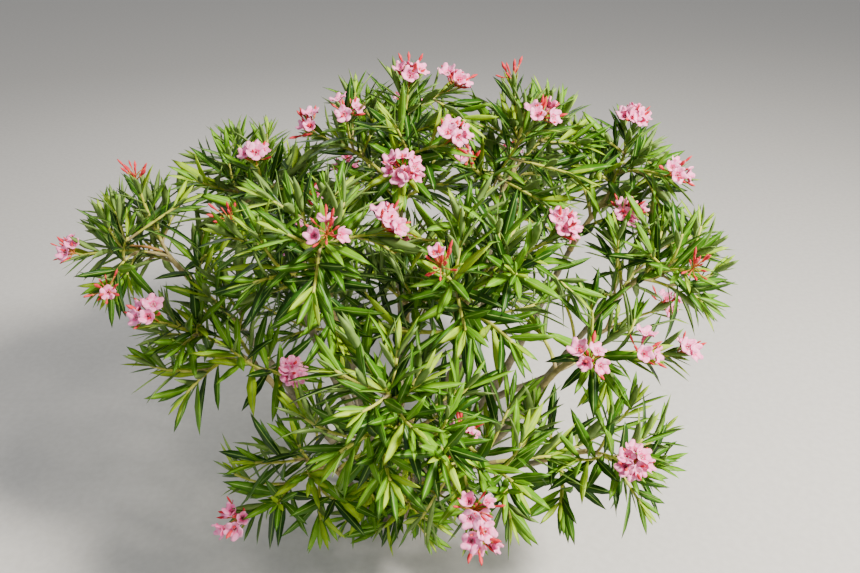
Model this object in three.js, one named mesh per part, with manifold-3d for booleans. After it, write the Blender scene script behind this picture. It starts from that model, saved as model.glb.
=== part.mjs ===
// A pink oleander shrub that grows in open ground, about 1.25 m wide and just under 1 m tall.
// A low woody foot sends up bare stems, some of which fork once. Each stem or fork carries one mass of leafy
// shoots, and flower heads end some of the shoots.
// Millimetres, +Z up, -Y to the front. The origin is the middle of the foot's flat cut at ground level.

import * as THREE from "three";
import { mergeVertices } from "three/addons/utils/BufferGeometryUtils.js";
import Module from "manifold-3d";

const wasm = await Module();
wasm.setup();

// Foot: a dome of old wood that flares out to the ground
const footDomeRadius = 66;
const footDomeHeight = 8;
const footFlareRadius = 92;
const footSides = 16;
const footDomeRows = 4;

// Stems: one to each mass, from the foot or from a fork on another stem
const stemFootRadius = 13;
const stemTipRadius = 5.5;
const forkRadiusShare = 0.8;
const stemSides = 6;
const stemSteps = 4;
const stemSpread = THREE.MathUtils.degToRad(27);
const stemSpreadRounds = 200;
const stemLean = 0.62;
const stemRise = 1.5;
const stemWaver = 0.07;
const jointGap = 0.35;
const leastEdge = 0.03;
const stemSeed = 50;

// Twigs, leaves and flowers, somewhat larger than life because there are fewer of them
const twigRadius = [6, 4.6];
const shootShare = 0.6;
const thinnestShoot = 2.3;
const shootTaper = 0.85;
const twigSides = 3;
const twigSteps = 2;
const leafLength = 124;
const leafWidth = 31;
const leafThickness = 3.2;
const leafWidest = 0.48;
const leafBow = 0.07;
const whorlLeaves = 3;
const whorlSpacing = 45;
const whorlsOnShoot = 3;
const tuftTilt = 22;
const lowestTilt = 66;
const sproutSizes = [1, 0.85, 0.72, 0.66];
const bloomRadius = 27;
const bloomDepth = 40;
const bloomPetals = 5;
const throatDepth = 0.55;
const budLength = 58;
const budWidth = 12;
const headSink = 0.5;
const mostBlooms = 2;
const budsByBlooms = 1;
const budsAlone = 3;
const bloomLean = 0.95;
const budLean = 0.4;

// How the masses share the crown
const shootsWanted = 4.6;
const tipCandidates = 60;
const tipDepth = [0.45, 0.72];
const headDepth = 0.88;
const headRise = 10;
const tipHeights = [-0.5, 1];
const jointsTried = 4;
const cellGap = 1.5;
const limbGap = 5;
const limbSampleCount = 40;
const groundGap = 14;
const shortestTwig = 55;
const leafStretch = 1.05;
const headStretch = 1.3;

// The masses: the middle of each one's space, its half sizes along x, y and z, and the stem that its own
// stem forks from, with how far along that is. A mass with no fork has a stem from the foot. Thin ones name
// how many shoots they want.
const masses = {
  top_left: { middle: [10, 60, 770], half: [190, 185, 180] },
  top_right: { middle: [235, 110, 740], half: [180, 180, 175] },
  right_upper: { middle: [425, 120, 675], half: [170, 180, 170] },
  right_mid: { middle: [345, -200, 510], half: [165, 170, 155], shoots: 3 },
  left_upper: { middle: [-270, 130, 655], half: [190, 185, 170] },
  left_far: { middle: [-445, 30, 590], half: [180, 185, 170] },
  front_left: { middle: [-120, -200, 680], half: [190, 185, 175] },
  front_low_right: { middle: [160, -345, 385], half: [165, 165, 150] },
  front_low_left: { middle: [-130, -305, 340], half: [165, 160, 145], shoots: 3.6 },
  back_left: { middle: [-280, 390, 510], half: [185, 180, 175] },
  back_right: { middle: [270, 400, 520], half: [185, 180, 175] },
  right_tip: { middle: [475, -45, 590], half: [155, 165, 155], fork: ["right_mid", 0.5] },
  left_low: { middle: [-295, -150, 490], half: [175, 180, 165], fork: ["left_far", 0.42] },
  front_right: { middle: [145, -210, 650], half: [190, 185, 175], fork: ["top_right", 0.4] },
  right_low: { middle: [350, -275, 355], half: [165, 160, 140], fork: ["right_mid", 0.3], shoots: 3.6 },
  front_middle: { middle: [20, -385, 520], half: [180, 165, 165], fork: ["front_left", 0.4] },
  front_low: { middle: [20, -225, 205], half: [165, 115, 105], fork: ["front_low_right", 0.3], shoots: 3.6 },
  middle: { middle: [20, 0, 520], half: [170, 170, 150], fork: ["top_left", 0.3] },
  back_middle: { middle: [0, 370, 650], half: [185, 180, 175], fork: ["top_left", 0.5] },
  back_low_left: { middle: [-215, 390, 270], half: [180, 175, 155], fork: ["back_left", 0.3] },
  back_low_right: { middle: [205, 420, 270], half: [180, 170, 155], fork: ["back_right", 0.3] },
  side_low_right: { middle: [450, 90, 380], half: [175, 180, 165], fork: ["right_upper", 0.35] },
};

// The view that the front flower heads are set out from: where the eye is, how far it looks down,
// and the focal length and middle of its picture of 860 by 573 pixels
const eye = new THREE.Vector3(69, -1375, 1300);
const eyePitch = THREE.MathUtils.degToRad(29.05);
const pictureFocal = 800;
const pictureMiddle = [430, 286.5];

// Flower heads on the masses: pixels across, pixels down, and how many blooms are open
const frontHeads = {
  left_far: [[80, 246, 3], [110, 282, 1], [138, 176, 0]],
  left_upper: [[257, 155, 3], [302, 188, 1], [235, 213, 0], [294, 224, 3]],
  left_low: [[158, 312, 4], [288, 368, 5]],
  front_left: [[326, 230, 2], [377, 224, 5], [406, 242, 3]],
  top_left: [[318, 126, 2], [347, 110, 2], [409, 76, 3], [448, 82, 4], [404, 166, 6], [446, 135, 3]],
  top_right: [[463, 157, 1], [513, 74, 0], [535, 116, 3]],
  right_upper: [[632, 120, 5], [666, 167, 3], [627, 217, 4]],
  right_tip: [[690, 262, 0]],
  front_right: [[556, 228, 5], [443, 264, 1]],
  right_mid: [[590, 355, 3], [634, 348, 2], [683, 346, 3]],
  right_low: [[629, 457, 5]],
  front_low_right: [[457, 424, 3], [435, 455, 2], [472, 497, 3], [474, 522, 3]],
  front_low_left: [[248, 508, 4]],
};
const hiddenHeads = {
  back_left: 2,
  back_middle: 2,
  back_right: 2,
  back_low_left: 1,
  back_low_right: 1,
  side_low_right: 1,
};
const hiddenBlooms = 3;

const colours = {
  wood: { color: 0x8a7a5e, roughness: 0.85, metalness: 0 },
  stem: { color: 0x8f8a58, roughness: 0.7, metalness: 0 },
  foliage: { color: 0x3f6b24, roughness: 0.5, metalness: 0 },
};

const up = new THREE.Vector3(0, 0, 1);

function makeDice(seed) {
  let state = seed * 7919 + 17;
  return () => {
    state = (state * 48271) % 2147483647;
    return state / 2147483647;
  };
}

function asSolid(geometry) {
  for (const name of ["normal", "uv"]) geometry.deleteAttribute(name);
  const merged = mergeVertices(geometry, 1e-3);
  const corners = merged.index.array;
  const kept = [];
  for (let i = 0; i < corners.length; i += 3) {
    const [a, b, c] = [corners[i], corners[i + 1], corners[i + 2]];
    if (a !== b && b !== c && c !== a) kept.push(a, b, c);
  }
  const vertProperties = new Float32Array(merged.attributes.position.array);
  return new wasm.Manifold(new wasm.Mesh({ numProp: 3, vertProperties, triVerts: new Uint32Array(kept) }));
}

function biggestPart(solid) {
  const pieces = solid.simplify(leastEdge).decompose();
  return pieces.reduce((big, next) => (next.volume() > big.volume() ? next : big));
}

function asGeometry(solid) {
  const mesh = solid.getMesh();
  const geometry = new THREE.BufferGeometry();
  geometry.setAttribute("position", new THREE.BufferAttribute(mesh.vertProperties, 3));
  geometry.setIndex(new THREE.BufferAttribute(mesh.triVerts, 1));
  geometry.computeVertexNormals();
  return geometry;
}

// A tapering limb: a cylinder whose rings are moved out along the curve
function limbGeometry(curve, [radiusFrom, radiusTo], sides, steps) {
  const geometry = new THREE.CylinderGeometry(1, 1, 1, sides, steps);
  const frames = curve.computeFrenetFrames(steps, false);
  const position = geometry.attributes.position;
  for (let i = 0; i < position.count; i++) {
    const share = position.getY(i) + 0.5;
    const ring = Math.round(share * steps);
    const radius = THREE.MathUtils.lerp(radiusFrom, radiusTo, share);
    const point = curve.getPointAt(share);
    point.addScaledVector(frames.binormals[ring], position.getX(i) * radius);
    point.addScaledVector(frames.normals[ring], position.getZ(i) * radius);
    position.setXYZ(i, point.x, point.y, point.z);
  }
  return geometry;
}

// Space: each mass keeps inside its own ellipsoid and on its own side of a plane towards every other mass
const massNames = Object.keys(masses);
for (const name of massNames) {
  masses[name].centre = new THREE.Vector3(...masses[name].middle);
  masses[name].reach = new THREE.Vector3(...masses[name].half);
}

function planesOf(name) {
  const own = masses[name];
  return massNames.filter((other) => other !== name).map((other) => {
    const between = masses[other].centre.clone().sub(own.centre);
    const share = own.reach.length() / (own.reach.length() + masses[other].reach.length());
    const normal = between.clone().normalize();
    const onPlane = own.centre.clone().addScaledVector(between, share);
    return { normal, offset: normal.dot(onPlane) - cellGap };
  });
}

function inSpace(point, name, stretch = 1) {
  const own = masses[name];
  const local = point.clone().sub(own.centre).divide(own.reach);
  if (local.length() > stretch || point.z < groundGap) return false;
  return own.planes.every((plane) => plane.normal.dot(point) < plane.offset);
}

for (const name of massNames) masses[name].planes = planesOf(name);

// Stems: those from the foot leave its dome at right angles, spread apart,
// and a fork leaves its stem's middle line
function spreadApart(directions) {
  for (let round = 0; round < stemSpreadRounds; round++) {
    for (const a of directions) {
      for (const b of directions) {
        const angle = a.angleTo(b);
        if (a === b || angle > stemSpread) continue;
        const push = a.clone().sub(b).multiplyScalar(0.5 * (stemSpread - angle));
        a.add(push).normalize();
        b.sub(push).normalize();
      }
    }
  }
}

function entryPoint(name) {
  const { centre, reach } = masses[name];
  const inward = centre.clone().negate().normalize();
  for (let share = 0.75; share > 0; share -= 0.05) {
    const point = centre.clone().addScaledVector(inward, share * reach.length() / Math.sqrt(3));
    if (inSpace(point, name)) return point;
  }
  return centre.clone();
}

function growStem(name, start, heading, footRadius, dice) {
  const mass = masses[name];
  const end = entryPoint(name);
  const arrival = mass.centre.clone().sub(start);
  arrival.z *= stemRise;
  arrival.normalize();
  const span = start.distanceTo(end);
  const waver = () => new THREE.Vector3(dice() - 0.5, dice() - 0.5, 0).multiplyScalar(span * 2 * stemWaver);
  const first = start.clone().addScaledVector(heading, span * 0.35);
  const second = end.clone().addScaledVector(arrival, -span * 0.3).add(waver());
  mass.limb = new THREE.CubicBezierCurve3(start, first, second, end);
  mass.limbSize = [footRadius, stemTipRadius];
  mass.arrival = arrival;
}

const footCentre = new THREE.Vector3(0, 0, footDomeHeight);
const footNames = massNames.filter((name) => !masses[name].fork);
const startHeadings = footNames.map((name) => {
  const { centre } = masses[name];
  return new THREE.Vector3(centre.x, centre.y, centre.z * stemLean).normalize();
});
spreadApart(startHeadings);

const stemDice = makeDice(stemSeed);
footNames.forEach((name, index) => {
  const start = footCentre.clone().addScaledVector(startHeadings[index], footDomeRadius * 0.8);
  growStem(name, start, startHeadings[index], stemFootRadius, stemDice);
});
for (const name of massNames.filter((one) => masses[one].fork)) {
  const [parent, share] = masses[name].fork;
  const start = masses[parent].limb.getPointAt(share);
  const towards = masses[name].centre.clone().sub(start).normalize();
  const heading = masses[parent].limb.getTangentAt(share).lerp(towards, 0.7).normalize();
  const radius = forkRadiusShare * THREE.MathUtils.lerp(...masses[parent].limbSize, share);
  growStem(name, start, heading, radius, stemDice);
}

const limbSamples = massNames.flatMap((name) => {
  const { limb, limbSize } = masses[name];
  return Array.from({ length: limbSampleCount + 1 }, (_, i) => ({
    point: limb.getPointAt(i / limbSampleCount),
    radius: THREE.MathUtils.lerp(...limbSize, i / limbSampleCount),
  }));
});

function clearOfLimbs(point, radius) {
  return limbSamples.every((limb) => limb.point.distanceTo(point) > limb.radius + radius + limbGap);
}

// Shoot tips: the heads that show from the front, then the points of a seeded cloud that are furthest apart
function headPoint(name, [across, down]) {
  const mass = masses[name];
  const right = (across - pictureMiddle[0]) / pictureFocal;
  const below = (down + headRise - pictureMiddle[1]) / pictureFocal;
  const ray = new THREE.Vector3(
    right,
    Math.cos(eyePitch) - below * Math.sin(eyePitch),
    -Math.sin(eyePitch) - below * Math.cos(eyePitch),
  );
  const from = eye.clone().sub(mass.centre).divide(mass.reach);
  const along = ray.divide(mass.reach);
  const nearest = -from.dot(along) / along.lengthSq();
  const miss = from.clone().addScaledVector(along, nearest);
  const back = Math.sqrt(Math.max(0, headDepth ** 2 - miss.lengthSq()) / along.lengthSq());
  const local = from.addScaledVector(along, nearest - back);
  if (local.length() > headDepth) local.setLength(headDepth);
  return local.multiply(mass.reach).add(mass.centre);
}

function pulledIn(point, name) {
  for (let share = 1; share > 0; share -= 0.04) {
    const tried = masses[name].centre.clone().lerp(point, share);
    if (inSpace(tried, name) && clearOfLimbs(tried, thinnestShoot)) return tried;
  }
  return null;
}

function tipCloud(name, dice) {
  const mass = masses[name];
  const cloud = [];
  while (cloud.length < tipCandidates) {
    const turn = 2 * Math.PI * dice();
    const height = THREE.MathUtils.lerp(...tipHeights, dice());
    const flat = Math.sqrt(1 - height * height);
    const local = new THREE.Vector3(flat * Math.cos(turn), flat * Math.sin(turn), height);
    local.multiplyScalar(THREE.MathUtils.lerp(...tipDepth, dice()));
    cloud.push(local.multiply(mass.reach).add(mass.centre));
  }
  return cloud.filter((point) => inSpace(point, name) && clearOfLimbs(point, thinnestShoot));
}

function tipsOf(name, dice) {
  const tips = [];
  for (const head of frontHeads[name] ?? []) {
    const point = pulledIn(headPoint(name, head), name);
    if (point) tips.push({ point, blooms: head[2] });
  }
  const cloud = tipCloud(name, dice);
  const outward = masses[name].centre.clone().normalize();
  let hidden = hiddenHeads[name] ?? 0;
  const wanted = (masses[name].shoots ?? shootsWanted) + (frontHeads[name]?.length ?? 0) / 2;
  while (tips.length < wanted && cloud.length > 0) {
    const room = (point) => {
      const apart = tips.map((tip) => tip.point.distanceTo(point));
      return Math.min(400, ...apart) + 0.4 * outward.dot(point.clone().sub(masses[name].centre));
    };
    cloud.sort((a, b) => room(b) - room(a));
    tips.push({ point: cloud.shift(), blooms: hidden > 0 ? hiddenBlooms : -1 });
    hidden -= 1;
  }
  return tips;
}

function shootCurve(joint, tip, arrival) {
  const span = joint.point.distanceTo(tip);
  const heading = joint.heading.clone().add(arrival).normalize();
  const middle = joint.point.clone().lerp(tip, 0.4).addScaledVector(heading, span * 0.18);
  return new THREE.QuadraticBezierCurve3(joint.point, middle, tip);
}

function isFree(curve, name) {
  const samples = [0.15, 0.3, 0.45, 0.6, 0.75, 0.9, 1].map((share) => curve.getPointAt(share));
  return samples.every((point) => inSpace(point, name) && clearOfLimbs(point, thinnestShoot));
}

// Twigs: a stem to the middle of the mass, and a shoot to each tip from the nearest twig that points its way
function growTwigs(name, tips) {
  const { limb, arrival, centre } = masses[name];
  const start = limb.v3.clone().addScaledVector(limb.getTangentAt(1), jointGap);
  const bend = start.clone().addScaledVector(limb.getTangentAt(1), start.distanceTo(centre) * 0.5);
  const stem = { curve: new THREE.QuadraticBezierCurve3(start, bend, centre.clone()), size: twigRadius };
  const twigs = [stem];
  const jointOn = (twig, share) => ({
    point: twig.curve.getPointAt(share),
    heading: twig.curve.getTangentAt(share),
    radius: THREE.MathUtils.lerp(...twig.size, share),
  });
  const joints = [0.35, 0.6, 0.85, 0.98].map((share) => jointOn(stem, share));
  for (const tip of tips) {
    const cost = (joint) => {
      const way = tip.point.clone().sub(joint.point);
      if (way.length() < shortestTwig) return Infinity;
      return way.length() * (1.9 - joint.heading.dot(way.clone().normalize()));
    };
    const near = joints.filter((joint) => cost(joint) < Infinity).sort((a, b) => cost(a) - cost(b));
    const cheapest = near.slice(0, jointsTried);
    const joint = cheapest.find((tried) => isFree(shootCurve(tried, tip.point, arrival), name));
    if (!joint) continue;
    const curve = shootCurve(joint, tip.point, arrival);
    const radius = Math.max(thinnestShoot, shootShare * joint.radius);
    const twig = { curve, size: [radius, radius * shootTaper], blooms: tip.blooms };
    twigs.push(twig);
    joints.push(jointOn(twig, 0.35), jointOn(twig, 0.6));
  }
  return twigs;
}

// A basis whose x runs along a heading and whose z faces as near to upwards as it can
function setAlong(geometry, origin, heading, facing) {
  const x = heading.clone().normalize();
  const y = facing.clone().cross(x).normalize();
  const z = x.clone().cross(y);
  const place = new THREE.Matrix4().makeBasis(x, y, z).setPosition(origin);
  return geometry.applyMatrix4(place);
}

// A leaf of six faces: pointed at both ends, flat on top and ribbed below, with its root inside the twig
function leafGeometry(length) {
  const leaf = new THREE.ConeGeometry(1, 1, 3, 2);
  const position = leaf.attributes.position;
  const width = leafWidth * length / leafLength;
  for (let i = 0; i < position.count; i++) {
    const [height, across, rib] = [position.getY(i), position.getX(i), position.getZ(i)];
    const middle = Math.abs(height) < 0.1;
    const lift = leafBow * length - 2 * rib * leafThickness * (rib > 0 ? 1 : 0.5);
    if (middle) position.setXYZ(i, leafWidest * length, across * 2 * width / Math.sqrt(3), lift);
    else position.setXYZ(i, height > 0 ? length : 0, 0, 0);
  }
  return leaf;
}

function bloomGeometry(depth) {
  const bloom = new THREE.ConeGeometry(1, 1, bloomPetals, 1);
  const position = bloom.attributes.position;
  const rim = bloomRadius * depth / bloomDepth;
  for (let i = 0; i < position.count; i++) {
    const [x, y, z] = [position.getX(i), position.getY(i), position.getZ(i)];
    const throat = Math.hypot(x, z) < 0.1 ? throatDepth : 1;
    position.setXYZ(i, y > 0 ? -headSink : depth * throat, x * rim, z * rim);
  }
  return bloom;
}

function budGeometry(length) {
  const bud = new THREE.OctahedronGeometry(1, 0);
  return bud.scale(length / 2, budWidth / 2, budWidth / 2).translate(length / 2 - headSink, 0, 0);
}

// Leaves in whorls of three down each shoot, the youngest at its tip the most upright
function leavesOn(curve, dice) {
  const leaves = [];
  const span = curve.getLength();
  for (let whorl = 0; whorl < whorlsOnShoot; whorl++) {
    const share = 1 - (0.06 * span + whorl * whorlSpacing) / span;
    if (share < 0.28) break;
    const point = curve.getPointAt(share);
    const heading = curve.getTangentAt(share);
    const across = Math.abs(heading.z) > 0.9 ? new THREE.Vector3(1, 0, 0) : up;
    const side = heading.clone().cross(across).normalize();
    const other = heading.clone().cross(side);
    const turn = Math.PI * (whorl / whorlLeaves + 0.3 * dice());
    for (let k = 0; k < whorlLeaves; k++) {
      const around = turn + 2 * Math.PI * (k + 0.2 * dice()) / whorlLeaves;
      const downShare = whorl / (whorlsOnShoot - 1);
      const tiltDegrees = THREE.MathUtils.lerp(tuftTilt, lowestTilt, downShare) + 12 * dice();
      const tilt = THREE.MathUtils.degToRad(tiltDegrees);
      const away = side.clone().multiplyScalar(Math.cos(around)).addScaledVector(other, Math.sin(around));
      const along = heading.clone().multiplyScalar(Math.cos(tilt)).addScaledVector(away, Math.sin(tilt));
      const facing = heading.clone().addScaledVector(up, 0.6).normalize();
      const length = leafLength * (0.85 + 0.25 * dice());
      leaves.push({ point, along, facing, length, node: whorl, shape: leafGeometry, stretch: leafStretch });
    }
  }
  return leaves;
}

// A flower head: blooms and buds that spread from the shoot's tip
function headOn(curve, blooms, dice) {
  const point = curve.getPointAt(1);
  const heading = curve.getTangentAt(1).addScaledVector(up, 0.3).normalize();
  const side = heading.clone().cross(new THREE.Vector3(0.3, -1, 0.2)).normalize();
  const facing = heading.clone().cross(side);
  const shown = Math.min(blooms, mostBlooms);
  const count = shown + (blooms > 0 ? budsByBlooms : budsAlone);
  const turn = 2 * Math.PI * dice();
  return Array.from({ length: count }, (_, k) => {
    const around = turn + 2 * Math.PI * k / count;
    const away = side.clone().multiplyScalar(Math.cos(around)).addScaledVector(facing, Math.sin(around));
    const open = k < shown;
    const along = heading.clone().addScaledVector(away, open ? bloomLean : budLean);
    const shape = open ? bloomGeometry : budGeometry;
    const length = open ? bloomDepth : budLength;
    return { point, along, facing, length, node: "head", shape, stretch: headStretch };
  });
}

function cornersOf(geometry) {
  const position = geometry.attributes.position;
  const cornerAt = (_, i) => new THREE.Vector3().fromBufferAttribute(position, i);
  return Array.from({ length: position.count }, cornerAt);
}

// Whether a sprout stays in its mass's space and off every stem
function growsFree(geometry, name, width, stretch) {
  const corners = cornersOf(geometry);
  if (!corners.every((point) => inSpace(point, name, stretch))) return false;
  const root = corners.reduce((sum, point) => sum.add(point), new THREE.Vector3());
  root.divideScalar(corners.length);
  return corners.every((point) => {
    return [0.2, 0.6, 1].every((share) => clearOfLimbs(root.clone().lerp(point, share), width * (1 - share)));
  });
}

function boxesMeet(a, b) {
  const [one, two] = [a.boundingBox(), b.boundingBox()];
  return [0, 1, 2].every((axis) => one.min[axis] < two.max[axis] && two.min[axis] < one.max[axis]);
}

function crosses(solid, others) {
  return others.some((other) => boxesMeet(solid, other) && !solid.intersect(other).isEmpty());
}

// A mass: its twigs, and on them each leaf and flower that stays in its space and crosses nothing else there,
// at full size or else smaller
function massSolid(name, index) {
  const dice = makeDice(index + 1);
  const twigs = growTwigs(name, tipsOf(name, dice));
  const wood = twigs.map((twig) => asSolid(limbGeometry(twig.curve, twig.size, twigSides, twigSteps)));
  const grown = [];
  twigs.slice(1).forEach((twig, order) => {
    const own = wood[order + 1];
    const otherWood = wood.filter((solid) => solid !== own && !crosses(solid, [own]));
    const sprouts = leavesOn(twig.curve, dice);
    if (twig.blooms >= 0) sprouts.unshift(...headOn(twig.curve, twig.blooms, dice));
    for (const sprout of sprouts) {
      const strangers = grown.filter((other) => other.node !== sprout.node || other.twig !== twig);
      const barred = [...otherWood, ...strangers.map((other) => other.solid)];
      for (const size of sproutSizes) {
        const shape = sprout.shape(sprout.length * size);
        const geometry = setAlong(shape, sprout.point, sprout.along, sprout.facing);
        if (!growsFree(geometry, name, leafWidth / 3, sprout.stretch)) continue;
        const solid = asSolid(geometry);
        if (crosses(solid, barred)) continue;
        grown.push({ solid, node: sprout.node, twig });
        break;
      }
    }
  });
  return biggestPart(wasm.Manifold.union([...wood, ...grown.map((one) => one.solid)]));
}

function footGeometry(growth) {
  const radius = footDomeRadius + growth;
  const rows = Array.from({ length: footDomeRows + 1 }, (_, i) => {
    const polar = THREE.MathUtils.degToRad(74) * (1 - i / footDomeRows);
    return new THREE.Vector2(radius * Math.sin(polar), footDomeHeight + radius * Math.cos(polar));
  });
  const profile = [
    new THREE.Vector2(0, 0),
    new THREE.Vector2(footFlareRadius, 0),
    new THREE.Vector2(footFlareRadius * 0.86, 8),
    ...rows,
  ];
  return new THREE.LatheGeometry(profile, footSides).rotateX(Math.PI / 2);
}

const shrub = new THREE.Group();

function addNode(name, solid, look) {
  const mesh = new THREE.Mesh(asGeometry(solid), new THREE.MeshStandardMaterial(colours[look]));
  mesh.name = name;
  shrub.add(mesh);
}

// A stem is cut back from what it grows out of, so that it sits on it with a hair's gap
function stemSolid(name) {
  const { limb, limbSize, fork } = masses[name];
  const whole = asSolid(limbGeometry(limb, limbSize, stemSides, stemSteps));
  if (!fork) return biggestPart(whole.subtract(asSolid(footGeometry(jointGap))));
  const parent = masses[fork[0]];
  const room = parent.limbSize.map((radius) => radius + 1.2 * jointGap);
  return biggestPart(whole.subtract(asSolid(limbGeometry(parent.limb, room, stemSides, stemSteps))));
}

addNode("foot", asSolid(footGeometry(0)), "wood");
massNames.forEach((name, index) => {
  addNode(`stem_${name}`, stemSolid(name), "stem");
  addNode(`foliage_${name}`, massSolid(name, index), "foliage");
});

export default shrub;
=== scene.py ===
import itertools
import math

import bpy
import numpy as np
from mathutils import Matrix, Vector, noise
from numpy.linalg import norm


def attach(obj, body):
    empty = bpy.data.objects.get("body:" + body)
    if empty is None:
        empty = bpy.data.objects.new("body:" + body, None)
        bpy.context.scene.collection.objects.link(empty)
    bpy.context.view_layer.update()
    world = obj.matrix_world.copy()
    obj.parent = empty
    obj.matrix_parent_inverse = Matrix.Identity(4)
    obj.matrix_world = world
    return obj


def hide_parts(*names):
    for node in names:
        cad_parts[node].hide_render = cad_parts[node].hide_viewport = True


# A pink oleander shrub in open ground: bark, twigs, leaves and flowers over its solids.
# Metres, +Z up, -Y to the front.

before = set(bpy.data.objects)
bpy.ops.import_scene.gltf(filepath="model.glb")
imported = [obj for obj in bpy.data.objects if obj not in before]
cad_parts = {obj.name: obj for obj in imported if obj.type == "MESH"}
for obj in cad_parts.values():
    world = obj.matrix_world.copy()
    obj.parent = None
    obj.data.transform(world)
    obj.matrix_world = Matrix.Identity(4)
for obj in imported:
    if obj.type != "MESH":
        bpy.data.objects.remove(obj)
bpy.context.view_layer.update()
up = np.array([0.0, 0.0, 1.0])
tiny = 1e-9


# Camera, at the photograph's viewing angle

view = {"eye": (0.069, -1.375, 1.300), "pitch": 29.05, "lens": 33.49, "sensor": 36, "clipStart": 0.01}

bpy.ops.object.camera_add(location=view["eye"], rotation=(math.radians(90 - view["pitch"]), 0, 0))
camera = bpy.context.object
camera.name = "photoCamera"
camera.data.lens = view["lens"]
camera.data.sensor_width = view["sensor"]
camera.data.clip_start = view["clipStart"]
bpy.context.scene.camera = camera


# Finishes: a mottled base colour between two near shades, with its own roughness and fine relief

finishLook = {"detail": 4, "shadesAt": (0.36, 0.64), "shine": 0.22,
              "reliefGrain": 400, "reliefDetail": 6, "reliefHeight": 0.001}


def setInputs(node, values):
    for name, value in values.items():
        node.inputs[name].default_value = value


def mottledFinish(name, low, high, rough, grain=60, relief=0.0):
    made = bpy.data.materials.new(name)
    made.use_nodes = True
    nodes, links = made.node_tree.nodes, made.node_tree.links
    shader = nodes["Principled BSDF"]
    where = nodes.new("ShaderNodeTexCoord")

    def spotNode(scale, detail):
        spots = nodes.new("ShaderNodeTexNoise")
        setInputs(spots, {"Scale": scale, "Detail": detail})
        links.new(where.outputs["Object"], spots.inputs["Vector"])
        return spots

    spots = spotNode(grain, finishLook["detail"])
    shades = nodes.new("ShaderNodeValToRGB")
    for stop, place, shade in zip(shades.color_ramp.elements, finishLook["shadesAt"], (low, high)):
        stop.position = place
        stop.color = (*shade, 1)
    links.new(spots.outputs["Fac"], shades.inputs["Fac"])
    links.new(shades.outputs["Color"], shader.inputs["Base Color"])
    gloss = nodes.new("ShaderNodeMapRange")
    setInputs(gloss, {"To Min": rough[0], "To Max": rough[1]})
    links.new(spots.outputs["Fac"], gloss.inputs["Value"])
    links.new(gloss.outputs["Result"], shader.inputs["Roughness"])
    setInputs(shader, {"Specular IOR Level": finishLook["shine"]})
    if relief:
        fine = spotNode(finishLook["reliefGrain"], finishLook["reliefDetail"])
        bump = nodes.new("ShaderNodeBump")
        setInputs(bump, {"Strength": relief, "Distance": finishLook["reliefHeight"]})
        links.new(fine.outputs["Fac"], bump.inputs["Height"])
        links.new(bump.outputs["Normal"], shader.inputs["Normal"])
    return made


def finishesFrom(looks):
    return {name: mottledFinish(name, *look) for name, look in looks.items()}


# Each finish has its two shades, its roughness from and to, then its grain and the strength of its relief
leafFinishes = finishesFrom({
    "leafYoung": ((0.280, 0.470, 0.006), (0.390, 0.570, 0.012), (0.38, 0.50)),
    "leafFresh": ((0.100, 0.275, 0.003), (0.160, 0.360, 0.004), (0.36, 0.48)),
    "leafGreen": ((0.038, 0.135, 0.002), (0.064, 0.190, 0.003), (0.34, 0.46)),
    # The darkest green is painted shade for leaves lying in the crown's shadow, not a leaf colour of its
    # own
    "leafPaintedShade": ((0.012, 0.058, 0.002), (0.023, 0.088, 0.003), (0.32, 0.44)),
    "leafDry": ((0.300, 0.140, 0.040), (0.480, 0.260, 0.070), (0.55, 0.75)),
    "leafRib": ((0.195, 0.335, 0.055), (0.285, 0.420, 0.095), (0.40, 0.50)),
    "leafUnder": ((0.140, 0.240, 0.045), (0.200, 0.310, 0.070), (0.58, 0.70)),
})
woodFinishes = finishesFrom({
    "twigGreen": ((0.430, 0.460, 0.045), (0.600, 0.600, 0.110), (0.45, 0.60), 90),
    "twigWoody": ((0.300, 0.240, 0.090), (0.450, 0.370, 0.160), (0.65, 0.80), 120, 0.3),
    "barkSmooth": ((0.170, 0.150, 0.090), (0.330, 0.290, 0.180), (0.70, 0.85), 70, 0.5),
    "barkOld": ((0.120, 0.095, 0.065), (0.280, 0.230, 0.160), (0.80, 0.95), 45, 0.8),
})
flowerFinishes = finishesFrom({
    "petalPale": ((0.960, 0.205, 0.470), (1.000, 0.445, 0.680), (0.50, 0.62), 160),
    "petalPink": ((0.900, 0.095, 0.335), (0.960, 0.195, 0.450), (0.50, 0.62), 160),
    "throatPink": ((0.620, 0.060, 0.190), (0.700, 0.130, 0.260), (0.50, 0.62), 110),
    "crownWhite": ((0.850, 0.620, 0.640), (0.900, 0.740, 0.740), (0.55, 0.65), 110),
    "budCoral": ((0.600, 0.020, 0.038), (0.740, 0.055, 0.066), (0.40, 0.52), 140),
    "stalkOrange": ((0.480, 0.120, 0.035), (0.600, 0.240, 0.060), (0.50, 0.62), 140),
})
leafSlots = {name: slot for slot, name in enumerate(leafFinishes)}
flowerSlots = {name: slot for slot, name in enumerate(flowerFinishes)}
print("finishes made")


# The growth rule, the same as the solids follow: masses that share the crown, each on a stem of its own.
# A mass has the middle of its space, its half sizes along x, y and z, and the stem it forks from, if any.

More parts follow.
